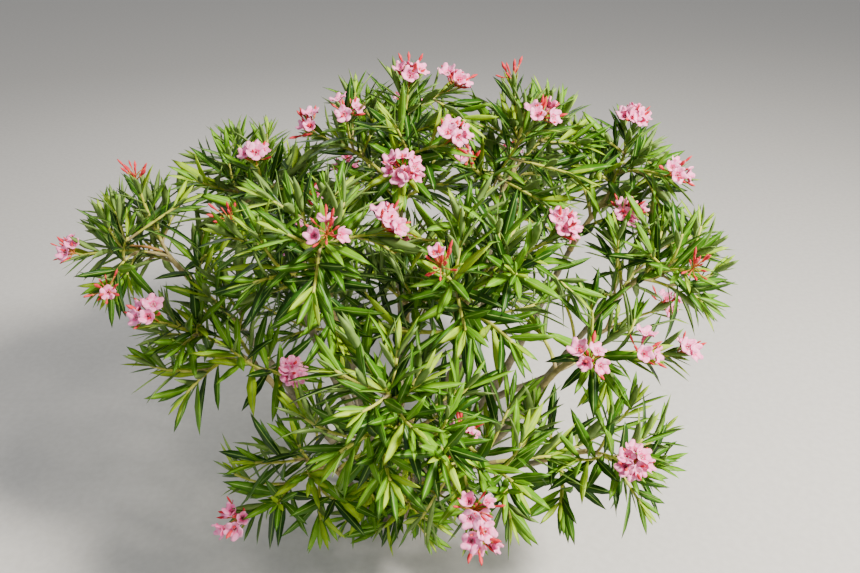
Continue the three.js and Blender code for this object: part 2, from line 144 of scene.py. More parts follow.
massSpaces = {
    "top_left": ((0.010, 0.060, 0.770), (0.190, 0.185, 0.180)),
    "top_right": ((0.235, 0.110, 0.740), (0.180, 0.180, 0.175)),
    "right_upper": ((0.425, 0.120, 0.675), (0.170, 0.180, 0.170)),
    "right_mid": ((0.345, -0.200, 0.510), (0.165, 0.170, 0.155)),
    "left_upper": ((-0.270, 0.130, 0.655), (0.190, 0.185, 0.170)),
    "left_far": ((-0.445, 0.030, 0.590), (0.180, 0.185, 0.170)),
    "front_left": ((-0.120, -0.200, 0.680), (0.190, 0.185, 0.175)),
    "front_low_right": ((0.160, -0.345, 0.385), (0.165, 0.165, 0.150)),
    "front_low_left": ((-0.130, -0.305, 0.340), (0.165, 0.160, 0.145)),
    "back_left": ((-0.280, 0.390, 0.510), (0.185, 0.180, 0.175)),
    "back_right": ((0.270, 0.400, 0.520), (0.185, 0.180, 0.175)),
    "right_tip": ((0.475, -0.045, 0.590), (0.155, 0.165, 0.155), "right_mid", 0.5),
    "left_low": ((-0.295, -0.150, 0.490), (0.175, 0.180, 0.165), "left_far", 0.42),
    "front_right": ((0.145, -0.210, 0.650), (0.190, 0.185, 0.175), "top_right", 0.4),
    "right_low": ((0.350, -0.275, 0.355), (0.165, 0.160, 0.140), "right_mid", 0.3),
    "front_middle": ((0.020, -0.385, 0.520), (0.180, 0.165, 0.165), "front_left", 0.4),
    "front_low": ((0.020, -0.225, 0.205), (0.165, 0.115, 0.105), "front_low_right", 0.3),
    "middle": ((0.020, 0.000, 0.520), (0.170, 0.170, 0.150), "top_left", 0.3),
    "back_middle": ((0.000, 0.370, 0.650), (0.185, 0.180, 0.175), "top_left", 0.5),
    "back_low_left": ((-0.215, 0.390, 0.270), (0.180, 0.175, 0.155), "back_left", 0.3),
    "back_low_right": ((0.205, 0.420, 0.270), (0.180, 0.170, 0.155), "back_right", 0.3),
    "side_low_right": ((0.450, 0.090, 0.380), (0.175, 0.180, 0.165), "right_upper", 0.35),
}

# Flower heads that face the camera: pixels across, pixels down, open blooms
frontHeads = {
    "left_far": [(80, 246, 3), (110, 282, 1), (138, 176, 0)],
    "left_upper": [(257, 155, 3), (302, 188, 1), (235, 213, 0), (294, 224, 3)],
    "left_low": [(158, 312, 4), (288, 368, 5)],
    "front_left": [(326, 230, 2), (377, 224, 5), (406, 242, 3)],
    "top_left": [
        (318, 126, 2), (347, 110, 2), (409, 76, 3), (448, 82, 4), (404, 166, 6), (446, 135, 3),
    ],
    "top_right": [(463, 157, 1), (513, 74, 0), (535, 116, 3)],
    "right_upper": [(632, 120, 5), (666, 167, 3), (627, 217, 4)],
    "right_tip": [(690, 262, 0)],
    "front_right": [(556, 228, 5), (443, 264, 1)],
    "right_mid": [(590, 355, 3), (634, 348, 2), (683, 346, 3)],
    "right_low": [(629, 457, 5)],
    "front_low_right": [(457, 424, 3), (435, 455, 2), (472, 497, 3), (474, 522, 3)],
    "front_low_left": [(248, 508, 4)],
}

crown = {
    "hiddenHeads": {"back_left": 2, "back_middle": 2, "back_right": 2,
                    "back_low_left": 1, "back_low_right": 1, "side_low_right": 1},
    "hiddenBlooms": 3,
    "pictureFocal": 800, "pictureMiddle": (430, 286.5),
    "footRadius": 0.066, "footHeight": 0.008, "startShare": 0.8,
    "stemFoot": 0.013, "stemTip": 0.0055, "forkShare": 0.8, "forkTurn": 0.7,
    "stemSpread": math.radians(27), "spreadRounds": 200, "stemLean": 0.62, "stemRise": 1.5,
    "stemWaver": 0.07, "stemSeed": 50, "jointGap": 0.00035, "stemPulls": (0.35, 0.3),
    "mainBend": 0.5, "entryTries": 15, "entryFrom": 0.75, "entryStep": 0.05,
    "mainShoots": 4.6,
    "fewerShoots": {"right_mid": 3, "front_low_left": 3.6, "right_low": 3.6, "front_low": 3.6},
    "mainCandidates": 60, "mainDepth": (0.45, 0.72), "headDepth": 0.88, "headRise": 10,
    "tipHeights": (-0.5, 1), "pullTries": 25, "pullStep": 0.04, "roomLimit": 0.4, "outwardPull": 0.4,
    "stemJoints": (0.35, 0.6, 0.85, 0.98), "shootJoints": (0.35, 0.6),
    "jointsTried": 4, "turnCost": 1.9, "shootForward": 0.4, "shootRise": 0.18,
    "cellGap": 0.0015, "limbGap": 0.005, "limbSamples": 40, "groundGap": 0.014,
    "freeShares": (0.15, 0.3, 0.45, 0.6, 0.75, 0.9, 1),
    "twigRadius": (0.006, 0.0046), "shootShare": 0.6, "thinnestShoot": 0.0023, "shootTaper": 0.85,
    "shortestTwig": 0.055,
}


# A repeatable row of random numbers between 0 and 1
def makeDice(seed):
    multiplier, modulus, seedStep, seedStart = 48271, 2147483647, 7919, 17
    state = seed * seedStep + seedStart

    def roll():
        nonlocal state
        state = state * multiplier % modulus
        return state / modulus

    return roll


def unit(vector):
    return vector / norm(vector)


def between(pair, share):
    return pair[0] + (pair[1] - pair[0]) * share


# How far one turn is from another, in radians, the shorter way round
def turnBetween(turn, other):
    return (turn - other + math.pi) % math.tau - math.pi


# A Bezier curve read by its share of length
class Bend:
    marks = 201
    nudge = 1e-4

    def __init__(self, *points):
        self.points = [np.array(point, float) for point in points]
        self.steps = np.linspace(0, 1, self.marks)
        places = np.array([self.at(t) for t in self.steps])
        self.lengths = np.append(0, np.cumsum(norm(np.diff(places, axis=0), axis=1)))
        self.length = self.lengths[-1]

    def at(self, t):
        level = self.points
        while len(level) > 1:
            level = [a + (b - a) * t for a, b in zip(level, level[1:])]
        return level[0]

    def timeOf(self, share):
        return np.interp(share * self.length, self.lengths, self.steps)

    def point(self, share):
        return self.at(self.timeOf(share))

    def heading(self, share):
        t = self.timeOf(share)
        return unit(self.at(min(t + self.nudge, 1)) - self.at(max(t - self.nudge, 0)))


masses = {}
for name, (middle, half, *fork) in massSpaces.items():
    masses[name] = {"name": name, "centre": np.array(middle), "reach": np.array(half), "fork": fork}

# Each space is cut by a plane towards every other mass
for mass in masses.values():
    planes = []
    for near in masses.values():
        if near is mass:
            continue
        way = near["centre"] - mass["centre"]
        own, theirs = norm(mass["reach"]), norm(near["reach"])
        normal = unit(way)
        offset = normal @ (mass["centre"] + way * own / (own + theirs)) - crown["cellGap"]
        planes.append((*normal, offset))
    mass["planes"] = np.array(planes)


def inReach(points, mass, stretch):
    return norm((points - mass["centre"]) / mass["reach"], axis=-1) <= stretch


# Which points are in a mass's own space; slack is how far past its planes they may go
def inSpace(points, mass, stretch=1.0, slack=0.0):
    points = np.asarray(points)
    inside = (points @ mass["planes"][:, :3].T < mass["planes"][:, 3] + slack).all(axis=-1)
    return inReach(points, mass, stretch) & inside & (points[..., 2] >= crown["groundGap"])


# Which points are within the reach of any mass
def inCrown(points, stretch):
    return np.any([inReach(points, mass, stretch) for mass in masses.values()], axis=0)


# Where a stem enters its mass
def entryPoint(mass):
    inward = -unit(mass["centre"])
    size = norm(mass["reach"]) / math.sqrt(3)
    for step in range(crown["entryTries"]):
        point = mass["centre"] + inward * (crown["entryFrom"] - crown["entryStep"] * step) * size
        if inSpace(point, mass):
            return point
    return mass["centre"]


def growStem(mass, start, heading, radius, dice):
    end = entryPoint(mass)
    arrival = unit((mass["centre"] - start) * (1, 1, crown["stemRise"]))
    span = norm(end - start)
    waver = np.array([dice() - 0.5, dice() - 0.5, 0]) * span * 2 * crown["stemWaver"]
    leave, arrive = crown["stemPulls"]
    mass["limb"] = Bend(start, start + heading * span * leave, end - arrival * span * arrive + waver, end)
    mass["limbSize"] = (radius, crown["stemTip"])
    mass["arrival"] = arrival


# Turns directions that are too close together away from each other
def spreadApart(directions):
    for _ in range(crown["spreadRounds"]):
        for i, j in itertools.permutations(range(len(directions)), 2):
            a, b = directions[i], directions[j]
            angle = math.acos(max(-1.0, min(1.0, float(a @ b))))
            if angle <= crown["stemSpread"]:
                push = (a - b) * 0.5 * (crown["stemSpread"] - angle)
                directions[i] = unit(a + push)
                directions[j] = unit(b - push)


footCentre = up * crown["footHeight"]
rooted = [mass for mass in masses.values() if not mass["fork"]]
startHeadings = [unit(mass["centre"] * (1, 1, crown["stemLean"])) for mass in rooted]
spreadApart(startHeadings)
stemDice = makeDice(crown["stemSeed"])
for mass, heading in zip(rooted, startHeadings):
    start = footCentre + heading * crown["footRadius"] * crown["startShare"]
    growStem(mass, start, heading, crown["stemFoot"], stemDice)
for mass in masses.values():
    if mass["fork"]:
        parent, share = masses[mass["fork"][0]], mass["fork"][1]
        start = parent["limb"].point(share)
        along = parent["limb"].heading(share)
        heading = unit(between((along, unit(mass["centre"] - start)), crown["forkTurn"]))
        radius = crown["forkShare"] * between(parent["limbSize"], share)
        growStem(mass, start, heading, radius, stemDice)

limbShares = [i / crown["limbSamples"] for i in range(crown["limbSamples"] + 1)]
limbPoints = np.array([mass["limb"].point(share) for mass in masses.values() for share in limbShares])
limbRadii = np.array([between(mass["limbSize"], share) for mass in masses.values() for share in limbShares])


def clearOfLimbs(points, radius):
    away = norm(np.asarray(points)[..., None, :] - limbPoints, axis=-1)
    return (away > limbRadii + np.asarray(radius)[..., None] + crown["limbGap"]).all(axis=-1)


# Where the ray through a pixel of the photograph meets a mass's outer shell
def headPoint(mass, across, down):
    pitch = math.radians(view["pitch"])
    right = (across - crown["pictureMiddle"][0]) / crown["pictureFocal"]
    below = (down + crown["headRise"] - crown["pictureMiddle"][1]) / crown["pictureFocal"]
    forward = math.cos(pitch) - below * math.sin(pitch)
    ray = np.array([right, forward, -math.sin(pitch) - below * math.cos(pitch)])
    start = (np.array(view["eye"]) - mass["centre"]) / mass["reach"]
    along = ray / mass["reach"]
    nearest = -(start @ along) / (along @ along)
    miss = start + along * nearest
    back = math.sqrt(max(0, crown["headDepth"] ** 2 - miss @ miss) / (along @ along))
    local = start + along * (nearest - back)
    if norm(local) > crown["headDepth"]:
        local = unit(local) * crown["headDepth"]
    return local * mass["reach"] + mass["centre"]


def pulledIn(point, mass):
    centre = mass["centre"]
    for step in range(crown["pullTries"]):
        tried = centre + (point - centre) * (1 - crown["pullStep"] * step)
        if inSpace(tried, mass) and clearOfLimbs(tried, crown["thinnestShoot"]):
            return tried
    return None


def tipCloud(mass, dice, count, depth):
    cloud = []
    for _ in range(count):
        turn = math.tau * dice()
        height = between(crown["tipHeights"], dice())
        flat = math.sqrt(1 - height * height)
        local = np.array([flat * math.cos(turn), flat * math.sin(turn), height]) * between(depth, dice())
        cloud.append(local * mass["reach"] + mass["centre"])
    cloud = np.array(cloud)
    return cloud[inSpace(cloud, mass) & clearOfLimbs(cloud, np.full(count, crown["thinnestShoot"]))]


# Takes points of a cloud, furthest apart first, until there are enough tips
def fillTips(tips, cloud, mass, wanted, hidden):
    centre = mass["centre"]
    outward = unit(centre)
    cloud = list(cloud)
    while len(tips) < wanted and cloud:
        rooms = []
        for point in cloud:
            apart = [norm(tip["point"] - point) for tip in tips]
            room = min([crown["roomLimit"]] + apart)
            rooms.append(room + crown["outwardPull"] * outward @ (point - centre))
        best = int(np.argmax(rooms))
        tips.append({"point": cloud.pop(best), "blooms": crown["hiddenBlooms"] if hidden > 0 else -1})
        hidden -= 1


# Shoots beyond those of the solids, which fill the same spaces and stand more upright
fineShoots = {
    "count": 13, "candidates": 260,
    "sparse": {"right_mid": 3, "side_low_right": 0, "front_low_left": 6, "front_low_right": 9,
               "right_low": 7},
    "depth": (0.28, 0.86), "joints": (0.2, 0.35, 0.5, 0.65, 0.8), "sag": 0.16, "shortest": 0.05,
    "longest": 0.19, "seed": 100,
}


def tipsOf(mass, dice):
    name = mass["name"]
    heads = frontHeads.get(name, [])
    tips = []
    for across, down, blooms in heads:
        point = pulledIn(headPoint(mass, across, down), mass)
        if point is not None:
            tips.append({"point": point, "blooms": blooms})
    wanted = crown["fewerShoots"].get(name, crown["mainShoots"]) + len(heads) / 2
    cloud = tipCloud(mass, dice, crown["mainCandidates"], crown["mainDepth"])
    fillTips(tips, cloud, mass, wanted, crown["hiddenHeads"].get(name, 0))
    return tips


# A shoot sags a little from its joint before it turns up to its tip
def shootCurve(joint, tip, arrival, sag):
    point, along, _ = joint
    span = norm(tip - point)
    rise = unit(along + arrival) * crown["shootRise"] - up * sag
    return Bend(point, point + (tip - point) * crown["shootForward"] + rise * span, tip)


def isFree(curve, mass):
    samples = np.array([curve.point(share) for share in crown["freeShares"]])
    clear = clearOfLimbs(samples, np.full(len(samples), crown["thinnestShoot"]))
    return (inSpace(samples, mass) & clear).all()


def jointsOn(twig, shares):
    curve, size = twig["curve"], twig["size"]
    return [(curve.point(share), curve.heading(share), between(size, share)) for share in shares]


# The shoot to a tip, from the nearest joint that points its way and leaves room for it
def growShoot(mass, tip, joints, shortest, sag=0.0):
    costs = []
    for point, along, _ in joints:
        way = tip["point"] - point
        span = norm(way)
        costs.append(math.inf if span < shortest else span * (crown["turnCost"] - along @ way / span))
    for best in np.argsort(costs, kind="stable")[:crown["jointsTried"]]:
        if costs[best] == math.inf:
            continue
        curve = shootCurve(joints[best], tip["point"], mass["arrival"], sag)
        if isFree(curve, mass):
            radius = max(crown["thinnestShoot"], crown["shootShare"] * joints[best][2])
            return {"curve": curve, "size": (radius, radius * crown["shootTaper"]), "blooms": tip["blooms"]}
    return None


def growTwigs(mass, dice, fineDice):
    heading = mass["limb"].heading(1)
    start = mass["limb"].points[-1] + heading * crown["jointGap"]
    bend = start + heading * norm(mass["centre"] - start) * crown["mainBend"]
    twigs = [{"curve": Bend(start, bend, mass["centre"]), "size": crown["twigRadius"], "blooms": -1}]
    joints = jointsOn(twigs[0], crown["stemJoints"])
    tips = tipsOf(mass, dice)
    for tip in tips:
        twig = growShoot(mass, tip, joints, crown["shortestTwig"])
        if twig:
            twigs.append(twig)
            joints += jointsOn(twig, crown["shootJoints"])
    joints = [joint for twig in twigs for joint in jointsOn(twig, fineShoots["joints"])]
    cloud = tipCloud(mass, fineDice, fineShoots["candidates"], fineShoots["depth"])
    main = len(tips)
    wanted = main + fineShoots["sparse"].get(mass["name"], fineShoots["count"])
    fillTips(tips, cloud, mass, wanted, 0)
    for tip in tips[main:]:
        twig = growShoot(mass, tip, joints, fineShoots["shortest"], fineShoots["sag"])
        if twig and twig["curve"].length < fineShoots["longest"]:
            twigs.append(twig)
    return twigs


for index, mass in enumerate(masses.values()):
    mass["twigs"] = growTwigs(mass, makeDice(index + 1), makeDice(index + fineShoots["seed"]))
print("shoots grown:", sum(len(mass["twigs"]) - 1 for mass in masses.values()))


# Making and joining meshes

def deselectAll():
    if bpy.context.object and bpy.context.object.mode != "OBJECT":
        bpy.ops.object.mode_set(mode="OBJECT")
    bpy.ops.object.select_all(action="DESELECT")


def selectOnly(piece):
    deselectAll()
    piece.select_set(True)
    bpy.context.view_layer.objects.active = piece


def editAll():
    bpy.ops.object.mode_set(mode="EDIT")
    bpy.ops.mesh.select_all(action="SELECT")


# Every face of the active mesh outwards, and back to object mode
def faceOutwards():
    editAll()
    bpy.ops.mesh.normals_make_consistent(inside=False)
    bpy.ops.object.mode_set(mode="OBJECT")


def applyPlace():
    bpy.ops.object.transform_apply(location=True, rotation=True, scale=True)


def addWall(piece, thickness):
    wall = piece.modifiers.new("wall", "SOLIDIFY")
    wall.thickness = thickness
    wall.offset = -1
    bpy.ops.object.modifier_apply(modifier="wall")


def cornersOf(piece):
    corners = np.empty(len(piece.data.vertices) * 3)
    piece.data.vertices.foreach_get("co", corners)
    return corners.reshape(-1, 3)


def setCorners(piece, corners):
    piece.data.vertices.foreach_set("co", np.ascontiguousarray(corners).ravel())
    piece.data.update()


# A modelled pattern as plain arrays: corners, triangles, the slot of each triangle
def patternOf(piece):
    mesh = piece.data
    mesh.calc_loop_triangles()
    triangles = np.empty(len(mesh.loop_triangles) * 3, int)
    mesh.loop_triangles.foreach_get("vertices", triangles)
    faces = [mesh.polygons[triangle.polygon_index] for triangle in mesh.loop_triangles]
    slots = np.array([face.material_index for face in faces])
    pattern = {"corners": cornersOf(piece), "triangles": triangles.reshape(-1, 3), "slots": slots}
    bpy.data.objects.remove(piece)
    return pattern


# One mesh from many copies: a list of (corners, triangles, slots)
def joinedMesh(name, parts, finishes, slotName, *stoodFor):
    corners = np.concatenate([part[0] for part in parts])
    starts = np.cumsum([0] + [len(part[0]) for part in parts[:-1]])
    triangles = np.concatenate([part[1] + start for part, start in zip(parts, starts)])
    slots = np.concatenate([part[2] for part in parts])
    mesh = bpy.data.meshes.new(name)
    mesh.vertices.add(len(corners))
    mesh.vertices.foreach_set("co", corners.ravel())
    mesh.loops.add(triangles.size)
    mesh.loops.foreach_set("vertex_index", triangles.ravel().astype(np.int32))
    mesh.polygons.add(len(triangles))
    mesh.polygons.foreach_set("loop_start", np.arange(0, triangles.size, 3, dtype=np.int32))
    mesh.polygons.foreach_set("material_index", slots.astype(np.int32))
    mesh.polygons.foreach_set("use_smooth", np.ones(len(triangles), bool))
    mesh.update(calc_edges=True)
    mesh.validate()
    for finish in finishes:
        mesh.materials.append(finish)
    piece = bpy.data.objects.new(name, mesh)
    bpy.context.scene.collection.objects.link(piece)
    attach(piece, "root")
    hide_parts(*stoodFor)


# A tapering tube along a curve; radiusAt gives the radius at a share of the length
def tubeArrays(curve, radiusAt, sides, steps, slotAt):
    aslant = (0.31, 0.17, -0.94)  # a way that no shoot starts in
    across = unit(np.cross(curve.heading(0), aslant))
    turns = np.linspace(0, math.tau, sides, endpoint=False)
    rings = []
    for share in np.linspace(0, 1, steps + 1):
        heading = curve.heading(share)
        across = unit(across - heading * (across @ heading))
        other = np.cross(heading, across)
        ring = np.outer(np.cos(turns), across) + np.outer(np.sin(turns), other)
        rings.append(curve.point(share) + ring * radiusAt(share))
    corners = np.concatenate([*rings, [curve.point(0)], [curve.point(1)]])
    triangles, slots = [], []
    for step in range(steps):
        for side in range(sides):
            a, b = step * sides + side, step * sides + (side + 1) % sides
            triangles += [(a, b, b + sides), (a, b + sides, a + sides)]
            slots += [slotAt((step + 0.5) / steps)] * 2
    first, last = len(corners) - 2, len(corners) - 1
    for side in range(sides):
        after = (side + 1) % sides
        triangles += [(first, after, side), (last, steps * sides + side, steps * sides + after)]
        slots += [slotAt(0), slotAt(1)]
    return corners, np.array(triangles), np.array(slots)


# Boughs: a smooth green-brown bark with rings at the old leaf joints, wrinkles and a swollen root

bough = {
    "sides": 18, "stepLength": 0.004, "ringEvery": 0.030, "ringHeight": 0.0006, "ringWidth": 0.0022,
    "wrinkle": 0.00035, "wrinkleGrain": (2.2, 45), "lump": 0.0006, "lumpGrain": 28,
    "flare": 0.45, "flareLength": 0.022, "lineMarks": 161, "seedStep": 3.1, "weld": 1e-6,
}


# The plain tapering limb, bevelled from a curve
def modelLimb(mass):
    curve = mass["limb"]
    bpy.ops.curve.primitive_bezier_curve_add(enter_editmode=True)
    piece = bpy.context.object
    first, last = piece.data.splines[0].bezier_points
    for end in (first, last):
        end.handle_left_type = end.handle_right_type = "FREE"
    first.co, first.handle_right = curve.points[0], curve.points[1]
    first.handle_left = 2 * curve.points[0] - curve.points[1]
    last.handle_left, last.co = curve.points[2], curve.points[3]
    last.handle_right = 2 * curve.points[3] - curve.points[2]
    piece.location = (0, 0, 0)
    piece.rotation_euler = (0, 0, 0)
    piece.data.resolution_u = int(curve.length / bough["stepLength"])
    piece.data.bevel_resolution = bough["sides"] // 2 - 2
    piece.data.bevel_depth = 1
    piece.data.use_fill_caps = True
    first.radius, last.radius = mass["limbSize"]
    selectOnly(piece)
    bpy.ops.object.convert(target="MESH")
    editAll()
    bpy.ops.mesh.remove_doubles(threshold=bough["weld"])
    faceOutwards()
    return bpy.context.object


def growBough(name):
    mass = masses[name]
    curve = mass["limb"]
    piece = modelLimb(mass)
    piece.name = "bough_" + name
    corners = cornersOf(piece)
    shares = np.linspace(0, 1, bough["lineMarks"])
    line = np.array([curve.point(share) for share in shares])
    nearest = np.argmin(norm(corners[:, None] - line, axis=2), axis=1)
    along = shares[nearest] * curve.length
    outward = corners - line[nearest]
    outward /= np.maximum(norm(outward, axis=1), tiny)[:, None]
    moved = np.empty(len(corners))
    seed = Vector((bough["seedStep"] * len(name), 0, 0))
    turns, grain = bough["wrinkleGrain"]
    for i, (distance, way) in enumerate(zip(along, outward)):
        fromRing = (distance + bough["ringEvery"] / 2) % bough["ringEvery"] - bough["ringEvery"] / 2
        ring = bough["ringHeight"] * math.exp(-(fromRing / bough["ringWidth"]) ** 2)
        place = Vector(way * turns) + Vector((0, 0, distance * grain)) + seed
        wrinkle = bough["wrinkle"] * noise.noise(place)
        lump = bough["lump"] * noise.noise(Vector(corners[i]) * bough["lumpGrain"] + seed)
        flare = between(mass["limbSize"], 0) * bough["flare"] * math.exp(-distance / bough["flareLength"])
        moved[i] = ring + wrinkle + lump + flare
    setCorners(piece, corners + outward * moved[:, None])
    piece.data.materials.clear()
    piece.data.materials.append(woodFinishes["barkSmooth"])
    piece.data.shade_smooth()
    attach(piece, "root")
    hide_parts("stem_" + name)


for name in masses:
    deselectAll()
    growBough(name)
print("boughs grown")


# Foot: old wood that swells up round each bough and runs out to the ground in ridges

foot = {
    "flare": 0.092, "flareCurve": 3, "rows": 40, "around": 120, "collar": 0.012, "collarSpread": 0.20,
    "ridge": 0.007, "ridgeSpread": 0.16, "lump": 0.004, "lumpGrain": 30,
    "crack": 0.0016, "crackGrain": 110, "crackStretch": (4, 4, 1),
    "lift": 0.35, "flatBelow": 1e-5, "lowest": 0.0004,
}


def growFoot():
    radius, height = crown["footRadius"], crown["footHeight"]
    bpy.ops.mesh.primitive_uv_sphere_add(segments=foot["around"], ring_count=foot["rows"], radius=radius,
                                         location=(0, 0, height))
    piece = bpy.context.object
    piece.name = "foot_bark"
    applyPlace()
    editAll()
    bpy.ops.mesh.bisect(plane_co=(0, 0, 0), plane_no=(0, 0, -1), clear_outer=True, use_fill=True)
    faceOutwards()
    corners = cornersOf(piece)
    for i, corner in enumerate(corners):
        way = unit(corner - footCentre)
        low = 1 - min(1, max(0, corner[2] / (radius + height)))
        turn = math.atan2(way[1], way[0])
        grow = (foot["flare"] - radius) * low ** foot["flareCurve"]
        for heading in startHeadings:
            apart = math.acos(max(-1, min(1, float(way @ heading))))
            grow += foot["collar"] * math.exp(-(apart / foot["collarSpread"]) ** 2)
            aside = turnBetween(turn, math.atan2(heading[1], heading[0]))
            below = 1 if way[2] < heading[2] else 0
            grow += below * foot["ridge"] * low * math.exp(-(aside / foot["ridgeSpread"]) ** 2)
        grow += foot["lump"] * noise.noise(Vector(corner) * foot["lumpGrain"])
        stretched = Vector(way * foot["crackStretch"])
        grow -= foot["crack"] * abs(noise.noise(stretched * foot["crackGrain"] * radius))
        flat = corner[2] < foot["flatBelow"]
        moved = corner + way * grow * (1, 1, 0 if flat else foot["lift"])
        corners[i] = (moved[0], moved[1], 0 if flat else max(foot["lowest"], moved[2]))
    setCorners(piece, corners)
    piece.data.materials.append(woodFinishes["barkOld"])
    piece.data.shade_smooth()
    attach(piece, "root")
    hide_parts("foot")


deselectAll()
growFoot()
print("foot grown")


# Leaf: a long narrow blade with a pale rib down its middle, folded a little along it.
# Its section has five corners: margin, rib, rib and margin above, and the pale back below.

leaf = {
    "length": 0.091, "width": 0.0160, "thickness": 0.0013, "ribWidth": 0.0011, "ribShare": 0.4,
    "ribCentre": 0.2, "corners": 5, "stations": ((0, 0.10), (0.16, 0.52), (0.46, 1.0), (0.78, 0.66)),
    "backTurn": 0.2, "sizes": (1, 0.85, 0.7), "stretch": 1.09, "inward": 1.4, "slack": 0.05,
    "limbGap": 0.004, "whorl": 3, "whorlTurn": 0.25, "firstWhorl": 0.004, "belowFlower": 0.006,
    "whorlGaps": (0.010, 0.017, 0.023, 0.027, 0.029), "bareShare": 0.14,
    "barer": {"side_low_right": 0.70, "right_mid": 0.42, "left_low": 0.30, "front_low_left": 0.36,
              "right_low": 0.30, "front_low_right": 0.38, "left_far": 0.28, "right_tip": 0.34},
    "tilts": (15, 27, 38, 47, 54, 60), "tiltSpread": 18, "tiltFrom": 0.3, "turnSpread": 0.5,
    "faceUp": 0.5, "faceOut": 0.01,
    "bend": (0.08, 0.42), "bendByWhorl": (0.4, 0.2), "fold": (0.06, 0.34), "twist": 0.5,
    "sizeByWhorl": (0.62, 0.86, 1.0, 1.06, 1.06, 1.0), "smallest": 0.82, "sizeSpread": 0.32,
    "moodSpread": 0.25, "seed": 300,
}
# Leaf colours by whorl, from the shoot's tip down: the odds of young, fresh, green, painted shade and dry;
# the painted shade, a darker green for leaves deeper in the crown, grows likelier down the shoot
leafOdds = (
    (0.55, 0.38, 0.07, 0.00, 0.000),
    (0.20, 0.50, 0.25, 0.05, 0.000),
    (0.05, 0.36, 0.40, 0.190, 0.000),
    (0.02, 0.22, 0.42, 0.339, 0.001),
    (0.01, 0.14, 0.38, 0.467, 0.003),
    (0.01, 0.12, 0.34, 0.523, 0.007),
)
leafOddsMargin = 1e-4  # keeps a shoot's mood from turning a living leaf dry


def modelLeaf():
    bpy.ops.mesh.primitive_circle_add(vertices=leaf["corners"], radius=1, fill_type="TRIFAN")
    piece = bpy.context.object
    editAll()
    bpy.ops.mesh.region_to_loop()
    for _ in leaf["stations"]:
        bpy.ops.mesh.extrude_region_move(TRANSFORM_OT_translate={"value": (0, 0, 1)})
    bpy.ops.mesh.merge(type="CENTER")
    faceOutwards()
    corners = cornersOf(piece)
    level = np.round(corners[:, 2]).astype(int)
    turns = np.arctan2(corners[:, 1], corners[:, 0])
    order = np.argsort(np.where(level == 1, turns, math.inf))[:leaf["corners"]]
    for i, corner in enumerate(corners):
        if level[i] == len(leaf["stations"]):
            corners[i] = (leaf["length"], 0, 0)
            continue
        share, wide = leaf["stations"][level[i]]
        half = wide * leaf["width"] / 2
        rib = min(leaf["ribWidth"] / 2, half * leaf["ribShare"])
        if math.hypot(corner[0], corner[1]) < 0.5:  # the middle of the fan at the leaf's foot
            corners[i] = (share * leaf["length"], 0, -leaf["thickness"] / 2)
            continue
        apart = np.abs(turnBetween(turns[order], turns[i]))
        section = ((half, 0), (rib, 0), (-rib, 0), (-half, 0), (0, -leaf["thickness"]))
        across, lift = section[np.argmin(apart)]
        corners[i] = (share * leaf["length"], across, lift)
    setCorners(piece, corners)
    faceOutwards()
    for face in piece.data.polygons:
        if face.normal.z < leaf["backTurn"]:
            face.material_index = leafSlots["leafUnder"]
        elif abs(face.center.y) < leaf["ribWidth"] * leaf["ribCentre"]:
            face.material_index = leafSlots["leafRib"]
    pattern = patternOf(piece)
    pattern["corners"][:, 0] /= leaf["length"]
    return pattern


deselectAll()
leafPattern = modelLeaf()
print("leaf modelled:", len(leafPattern["triangles"]), "triangles")


# A way square to a heading, and level unless the heading is nearly upright
def sideways(heading):
    upright = abs(heading[2]) > 0.9
    return unit(np.cross(heading, (1, 0, 0) if upright else up))


# Every leaf asked for on a mass: where it starts, its way, its face, length, bend, fold, twist and colour
def leavesOn(mass, dice):
    asked = []
    bare = leaf["barer"].get(mass["name"], leaf["bareShare"])
    lastRow, lastGap = len(leaf["tilts"]) - 1, len(leaf["whorlGaps"]) - 1
    dry = leafSlots["leafDry"]
    firstBend, moreBend = leaf["bendByWhorl"]
    for twig in mass["twigs"][1:]:
        curve, place, whorl = twig["curve"], leaf["firstWhorl"], 0
        mood = dice()
        if twig["blooms"] >= 0:
            place += leaf["belowFlower"]
        while place < curve.length * (1 - bare):
            share = 1 - place / curve.length
            point, heading = curve.point(share), curve.heading(share)
            side = sideways(heading)
            other = np.cross(heading, side)
            turn = math.pi * (whorl / leaf["whorl"] + leaf["whorlTurn"] * dice())
            row = min(whorl, lastRow)
            for k in range(leaf["whorl"]):
                around = turn + math.tau * k / leaf["whorl"] + leaf["turnSpread"] * (dice() - 0.5)
                tilt = math.radians(leaf["tilts"][row] + leaf["tiltSpread"] * (dice() - leaf["tiltFrom"]))
                away = side * math.cos(around) + other * math.sin(around)
                along = heading * math.cos(tilt) + away * math.sin(tilt)
                facing = heading + up * leaf["faceUp"] + away * leaf["faceOut"]
                size = leaf["smallest"] + leaf["sizeSpread"] * dice()
                length = leaf["length"] * leaf["sizeByWhorl"][row] * size
                bend = between(leaf["bend"], dice()) * (firstBend + moreBend * row)
                fold = between(leaf["fold"], dice())
                twist = leaf["twist"] * (dice() - 0.5)
                pick, living = dice(), 1 - leafOdds[row][dry]
                if pick < living:
                    pick = max(0, pick + leaf["moodSpread"] * (mood - 0.5))
                    pick = min(living - leafOddsMargin, pick)
                # The colour comes from the whorl's odds; its darkest green is painted shade
                colour = min(dry, int(np.searchsorted(np.cumsum(leafOdds[row]), pick)))
                asked.append((point, along, facing, length, bend, fold, twist, colour))
            place += leaf["whorlGaps"][min(whorl, lastGap)]
            whorl += 1
    return asked


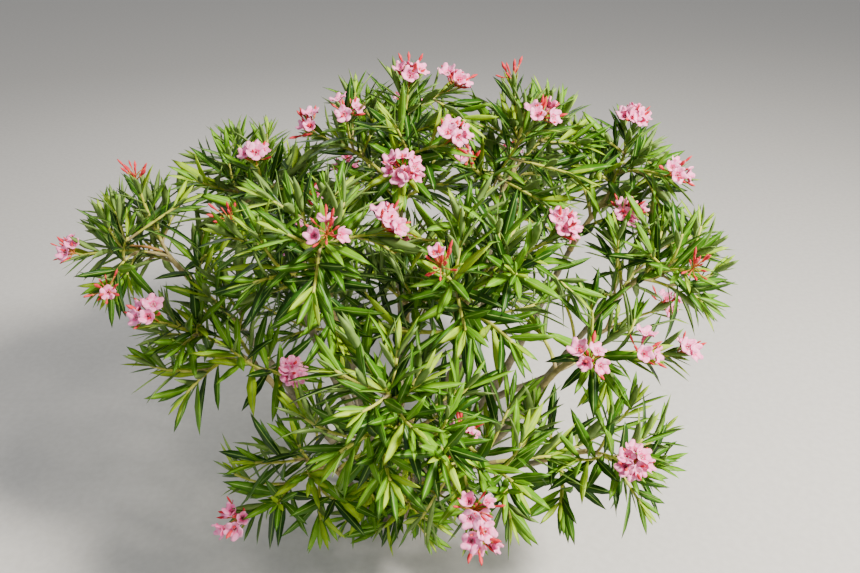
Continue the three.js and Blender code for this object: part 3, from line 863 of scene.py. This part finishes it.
# The pattern bent, folded and twisted for each leaf, and set along its way
def leafCorners(points, alongs, facings, lengths, bends, folds, twists):
    share, across, lift = leafPattern["corners"].T
    scale = (lengths / leaf["length"])[:, None]
    wide = across * scale
    turn = twists[:, None] * share
    height = (lift + np.abs(across) * folds[:, None]) * scale
    wide, height = wide * np.cos(turn) - height * np.sin(turn), wide * np.sin(turn) + height * np.cos(turn)
    arc = bends[:, None] * share
    reach = lengths[:, None] * np.sin(arc) / bends[:, None]
    drop = lengths[:, None] * (1 - np.cos(arc)) / bends[:, None]
    forward = reach + height * np.sin(arc)
    rise = height * np.cos(arc) - drop
    x = alongs / norm(alongs, axis=1)[:, None]
    y = np.cross(facings, x)
    y /= norm(y, axis=1)[:, None]
    z = np.cross(x, y)
    return (points[:, None] + forward[..., None] * x[:, None] + wide[..., None] * y[:, None]
            + rise[..., None] * z[:, None])


# Sets each leaf asked for, smaller where there is no room for it; gives how many there are
def growLeaves(name, dice):
    mass = masses[name]
    asked = leavesOn(mass, dice)
    *shapes, colours = [np.array(part) for part in zip(*asked)]
    kept = np.zeros(len(asked), bool)
    placed = np.empty((len(asked), *leafPattern["corners"].shape))
    tipCorner = np.argmax(leafPattern["corners"][:, 0])
    for size in leaf["sizes"]:
        left = np.flatnonzero(~kept)
        points, alongs, facings, lengths, *curls = [shape[left] for shape in shapes]
        tried = leafCorners(points, alongs, facings, lengths * size, *curls)
        inside = inSpace(tried, mass, leaf["inward"], leaf["slack"]).all(axis=1)
        inside &= inCrown(tried, leaf["stretch"]).all(axis=1)
        clear = clearOfLimbs(tried[:, tipCorner], np.zeros(len(left)))
        clear &= clearOfLimbs(tried.mean(axis=1), np.full(len(left), leaf["limbGap"]))
        good = left[inside & clear]
        placed[good] = tried[inside & clear]
        kept[good] = True
    parts = []
    for corners, colour in zip(placed[kept], colours[kept]):
        slots = np.where(leafPattern["slots"] == 0, colour, leafPattern["slots"])
        if colour == leafSlots["leafDry"]:
            slots = np.full_like(slots, colour)
        parts.append((corners, leafPattern["triangles"], slots))
    joinedMesh("leaves_" + name, parts, leafFinishes.values(), "foliage", "foliage_" + name)
    return len(parts)


counts = [growLeaves(name, makeDice(index + leaf["seed"])) for index, name in enumerate(masses)]
print("leaves grown:", sum(counts))


# Twigs: green shoots that turn woody lower down, a little swollen at each whorl of leaves

twigLook = {"sides": 6, "stepLength": 0.006, "fewestSteps": 6, "swell": 0.20, "swellEvery": 0.027,
            "swellSharpness": 4, "greenFrom": 0.25, "slim": 1.12}


def growTwigMesh(name):
    parts = []
    for order, twig in enumerate(masses[name]["twigs"]):
        curve, size = twig["curve"], twig["size"]
        slim = 1 if order == 0 else twigLook["slim"]

        def radiusAt(share):
            ring = (share * curve.length / twigLook["swellEvery"]) % 1
            swell = twigLook["swell"] * max(0, math.cos(math.tau * ring)) ** twigLook["swellSharpness"]
            return slim * between(size, share) * (1 + swell)

        def slotAt(share):
            woody = order == 0 or share < twigLook["greenFrom"]
            return 1 if woody else 0

        steps = max(twigLook["fewestSteps"], int(curve.length / twigLook["stepLength"]))
        parts.append(tubeArrays(curve, radiusAt, twigLook["sides"], steps, slotAt))
    finishes = [woodFinishes["twigGreen"], woodFinishes["twigWoody"]]
    joinedMesh("twigs_" + name, parts, finishes, "stem", "foliage_" + name)


for name in masses:
    growTwigMesh(name)
print("twigs grown")


# Flower: a narrow tube that opens into a bell, five broad petals set like a windmill,
# and a pale fringe in the throat

flower = {
    "petals": 5, "petalLength": 0.0150, "petalWidth": 0.0195, "petalThickness": 0.0005, "swirl": 0.20,
    "outline": (0.42, 0.80, 1.0, 0.98, 0.60), "columns": 3, "rootShare": 0.85, "rootDrop": 0.0006,
    "endRound": 0.10, "cup": (0.0095, -0.0050), "roll": 0.0026,
    "ruffle": 0.0016, "ruffleAcross": (5.2, 1.1), "ruffleOut": (7, 2), "deepShare": 0.32, "backTurn": -0.2,
    "tube": ((0, 0.0012), (0.009, 0.0014), (0.013, 0.0029), (0.018, 0.0045)), "tubeSides": 10,
    "tubeWall": 0.0004, "throatFrom": 0.010, "hingeShare": 0.8,
    "fringe": 3, "fringeLength": 0.006, "fringeRadius": 0.0006, "fringeStep": 0.28, "fringeRing": 0.8,
    "fringeRise": 0.25, "fringeLean": 18,
    "calyx": 0.0045, "calyxRadius": 0.0022, "calyxFoot": 0.0008, "calyxSides": 5, "calyxDrop": 0.0012,
}


def colourAll(piece, name):
    for face in piece.data.polygons:
        face.material_index = flowerSlots[name]


def modelTube():
    (height, radius), *rings = flower["tube"]
    bpy.ops.mesh.primitive_circle_add(vertices=flower["tubeSides"], radius=radius, fill_type="TRIFAN")
    piece = bpy.context.object
    editAll()
    bpy.ops.mesh.region_to_loop()
    for nextHeight, nextRadius in rings:
        bpy.ops.mesh.extrude_region_move(TRANSFORM_OT_translate={"value": (0, 0, nextHeight - height)})
        grown = nextRadius / radius
        bpy.ops.transform.resize(value=(grown, grown, 1))
        height, radius = nextHeight, nextRadius
    bpy.ops.object.mode_set(mode="OBJECT")
    addWall(piece, flower["tubeWall"])
    faceOutwards()
    for face in piece.data.polygons:
        throat = face.center.z > flower["throatFrom"]
        face.material_index = flowerSlots["throatPink" if throat else "petalPink"]
    return piece


def modelPetal():
    bpy.ops.mesh.primitive_grid_add(x_subdivisions=flower["columns"],
                                    y_subdivisions=len(flower["outline"]) - 1, size=1)
    piece = bpy.context.object
    corners = cornersOf(piece)
    rimHeight, rimRadius = flower["tube"][-1]
    across = corners[:, 0] * 2
    out = corners[:, 1] + 0.5
    outline = np.interp(out, np.linspace(0, 1, len(flower["outline"])), flower["outline"])
    half = outline * flower["petalWidth"] / 2
    x = across * half + flower["swirl"] * out * flower["petalWidth"]
    y = rimRadius * flower["rootShare"]
    y = y + out * flower["petalLength"] * (1 - flower["endRound"] * across ** 2 * out)
    z = rimHeight - flower["rootDrop"] + flower["cup"][0] * out + flower["cup"][1] * out ** 2
    waves, phase = flower["ruffleAcross"]
    z += flower["roll"] * across * out + flower["ruffle"] * np.sin(across * waves + phase) * out
    waves, slant = flower["ruffleOut"]
    z += flower["ruffle"] * np.sin(out * waves + across * slant) * out
    setCorners(piece, np.stack([x, y, z], axis=1))
    addWall(piece, flower["petalThickness"])
    for face in piece.data.polygons:
        near = face.center.y < rimRadius + flower["petalLength"] * flower["deepShare"]
        deep = near or face.normal.z < flower["backTurn"]
        face.material_index = flowerSlots["petalPink" if deep else "petalPale"]
    return piece


def modelFringe():
    rimHeight, rimRadius = flower["tube"][-1]
    height = rimHeight + flower["fringeLength"] * flower["fringeRise"]
    radius = rimRadius * flower["fringeRing"]
    threads = []
    for k in range(flower["fringe"]):
        turn = (k - (flower["fringe"] - 1) / 2) * flower["fringeStep"]
        place = (radius * math.sin(turn), radius * math.cos(turn), height)
        bpy.ops.mesh.primitive_cone_add(vertices=3, radius1=flower["fringeRadius"], radius2=0,
                                        depth=flower["fringeLength"], location=place,
                                        rotation=(math.radians(flower["fringeLean"]), 0, -turn))
        applyPlace()
        thread = bpy.context.object
        colourAll(thread, "crownWhite")
        threads.append(thread)
    return threads


def modelCalyx():
    bpy.ops.mesh.primitive_cone_add(vertices=flower["calyxSides"], radius1=flower["calyxFoot"],
                                    radius2=flower["calyxRadius"], depth=flower["calyx"],
                                    location=(0, 0, flower["calyx"] / 2 - flower["calyxDrop"]))
    applyPlace()
    piece = bpy.context.object
    colourAll(piece, "stalkOrange")
    return piece


# Gives each piece all the flower's finishes, so that its slots stay, and joins them
def joinAll(pieces):
    for piece in pieces:
        for finish in flowerFinishes.values():
            piece.data.materials.append(finish)
    selectOnly(pieces[0])
    for piece in pieces[1:]:
        piece.select_set(True)
    bpy.ops.object.join()
    return bpy.context.object


def modelFlower():
    pieces = [modelTube(), modelCalyx()]
    for k in range(flower["petals"]):
        for piece in [modelPetal(), *modelFringe()]:
            selectOnly(piece)
            piece.rotation_euler = (0, 0, math.tau * k / flower["petals"])
            applyPlace()
            pieces.append(piece)
    return patternOf(joinAll(pieces))


deselectAll()
flowerPattern = modelFlower()
print("flower modelled:", len(flowerPattern["triangles"]), "triangles")


# Bud: a slim twisted spindle on the same calyx

bud = {"length": 0.022, "radius": 0.0029, "sides": 5, "rows": 6, "twist": 1.6, "ridge": 0.18, "ridges": 2.5,
       "profile": (0.05, 0.50, 0.55, 0.75, 1.0, 0.85, 0.45, 0.03)}


def modelBud():
    bpy.ops.mesh.primitive_uv_sphere_add(segments=bud["sides"], ring_count=bud["rows"], radius=1)
    piece = bpy.context.object
    corners = cornersOf(piece)
    share = 1 - np.arccos(np.clip(corners[:, 2], -1, 1)) / math.pi
    radius = np.interp(share, np.linspace(0, 1, len(bud["profile"])), bud["profile"]) * bud["radius"]
    turn = np.arctan2(corners[:, 1], corners[:, 0]) + bud["twist"] * share
    squash = 1 + bud["ridge"] * np.cos(bud["ridges"] * turn)
    setCorners(piece, np.stack([radius * squash * np.cos(turn), radius * squash * np.sin(turn),
                                share * bud["length"]], axis=1))
    colourAll(piece, "budCoral")
    return patternOf(joinAll([piece, modelCalyx()]))


deselectAll()
budPattern = modelBud()
print("bud modelled:", len(budPattern["triangles"]), "triangles")


# Flower heads: stalks that fan out from the shoot's tip, the open blooms outermost and buds between them

head = {
    "bloom": {"stalk": (0.007, 0.017), "lean": (28, 62), "size": (0.70, 0.93), "thick": 1.15, "pull": 1},
    "bud": {"stalk": (0.009, 0.030), "lean": (10, 70), "size": (0.65, 1.25), "thick": 0.9, "pull": 0.2},
    "buds": (8, 13), "budsAlone": (11, 16), "moreBlooms": 1.35, "budTurn": 2.4, "loneLean": 0.5,
    "closing": (0.1, 0.95), "stretch": 1.55, "slack": 0.04, "lightPull": (0.1, -0.40, 0.30), "spin": 6.28,
    "neck": 0.016, "neckShare": 0.6, "lift": 1.0, "stemRoot": 0.004, "stemRise": 0.008,
    "stemRadius": 0.0017, "stemTaper": 0.0005, "stalkRadius": 0.0010, "stalkRise": 0.4, "stalkEnd": 0.001,
    "sides": 5, "stemSteps": 3, "stalkSteps": 4, "seed": 700,
}


# A flower or bud set on its stalk; closing turns the petals up, in radians
def setCopy(pattern, origin, along, turn, size, closing=0.0):
    corners = pattern["corners"] * size
    if closing:
        rimHeight, rimRadius = (value * size for value in flower["tube"][-1])
        flat = np.maximum(norm(corners[:, :2], axis=1), tiny)
        aboveHinge = corners[:, 2] > rimHeight * flower["hingeShare"]
        out = np.where(aboveHinge, np.maximum(0, flat - rimRadius), 0)
        shrink = (flat - out * (1 - math.cos(closing))) / flat
        corners = corners * np.stack([shrink, shrink, np.ones(len(flat))], axis=1)
        corners[:, 2] += out * math.sin(closing)
    z = unit(along)
    x = sideways(z)
    y = np.cross(z, x)
    x, y = x * math.cos(turn) + y * math.sin(turn), y * math.cos(turn) - x * math.sin(turn)
    return corners @ np.array([x, y, z]) + origin, pattern["triangles"], pattern["slots"]


def stalkSlot(share):
    return flowerSlots["stalkOrange"]


def growHead(mass, twig, dice):
    tip, shootHeading = twig["curve"].point(1), twig["curve"].heading(1)
    heading = unit(shootHeading + up * head["lift"])
    side = sideways(heading)
    other = np.cross(heading, side)
    neck = tip + heading * head["neck"]
    stem = Bend(tip - shootHeading * head["stemRoot"], tip + heading * head["stemRise"], neck)
    parts = [tubeArrays(stem, lambda share: head["stemRadius"] - head["stemTaper"] * share,
                        head["sides"], head["stemSteps"], stalkSlot)]
    blooms = round(twig["blooms"] * head["moreBlooms"])
    kinds = ["bloom"] * blooms
    kinds += ["bud"] * int(between(head["buds"] if blooms else head["budsAlone"], dice()))
    turn = math.tau * dice()
    for order, kind in enumerate(kinds):
        look = head[kind]
        bloom = kind == "bloom"
        around = turn + (math.tau * order / max(1, blooms) if bloom else head["budTurn"] * order)
        lean = math.radians(between(look["lean"], dice()))
        if bloom and blooms == 1:
            lean *= head["loneLean"]
        away = side * math.cos(around) + other * math.sin(around)
        along = heading * math.cos(lean) + away * math.sin(lean)
        length = between(look["stalk"], dice())
        start = neck - heading * head["neck"] * head["neckShare"] * dice()
        end = start + along * length
        facing = unit(along + np.array(head["lightPull"]) * look["pull"])
        size = between(look["size"], dice())
        closing = between(head["closing"], dice() ** 2) if bloom else 0
        pattern = flowerPattern if bloom else budPattern
        copy = setCopy(pattern, end, facing, head["spin"] * dice(), size, closing)
        if not inSpace(copy[0], mass, head["stretch"], head["slack"]).all():
            continue
        parts.append(copy)
        stalk = Bend(start, start + heading * length * head["stalkRise"], end + facing * head["stalkEnd"])
        radius = head["stalkRadius"] * look["thick"]
        parts.append(tubeArrays(stalk, lambda share: radius, head["sides"], head["stalkSteps"], stalkSlot))
    return parts


blooms = 0
for index, (name, mass) in enumerate(masses.items()):
    dice = makeDice(index + head["seed"])
    headed = [twig for twig in mass["twigs"][1:] if twig["blooms"] >= 0]
    parts = [part for twig in headed for part in growHead(mass, twig, dice)]
    if parts:
        joinedMesh("flowers_" + name, parts, flowerFinishes.values(), "foliage", "foliage_" + name)
        blooms += sum(len(part[0]) == len(flowerPattern["corners"]) for part in parts)
print("flowers grown:", blooms)


# Floor and soft studio light

studio = {
    "floor": 14, "floorDrop": 0.0005, "floorLow": (0.60, 0.58, 0.55), "floorHigh": (0.64, 0.62, 0.59),
    "floorRough": (0.85, 0.95), "world": (0.95, 0.97, 1.0), "worldStrength": 0.42, "aim": (0, 0, 0.45),
}

deselectAll()
bpy.ops.mesh.primitive_plane_add(size=studio["floor"], location=(0, 0, -studio["floorDrop"]))
floor = bpy.context.object
floor.name = "studioFloor"
floorPale = mottledFinish("floorPale", studio["floorLow"], studio["floorHigh"], studio["floorRough"])
floor.data.materials.append(floorPale)

world = bpy.data.worlds.new("studioWorld")
world.use_nodes = True
sky = {"Color": (*studio["world"], 1), "Strength": studio["worldStrength"]}
setInputs(world.node_tree.nodes["Background"], sky)
bpy.context.scene.world = world

# Each lamp has its place, power, size and colour
lamps = {
    "key": ((2.0, -1.2, 2.8), 315, 0.6, (1.0, 0.95, 0.86)),
    "fill": ((-2.2, -1.8, 1.9), 14, 2.0, (0.86, 0.92, 1.0)),
    "back": ((-0.6, 2.4, 2.3), 26, 1.4, (1.0, 0.98, 0.94)),
}
for name, (place, power, size, colour) in lamps.items():
    bpy.ops.object.light_add(type="AREA", location=place)
    lamp = bpy.context.object
    lamp.name = name + "Light"
    lamp.data.energy = power
    lamp.data.size = size
    lamp.data.color = colour
    aim = Vector(studio["aim"]) - Vector(place)
    lamp.rotation_euler = aim.to_track_quat("-Z", "Y").to_euler()
print("studio set")
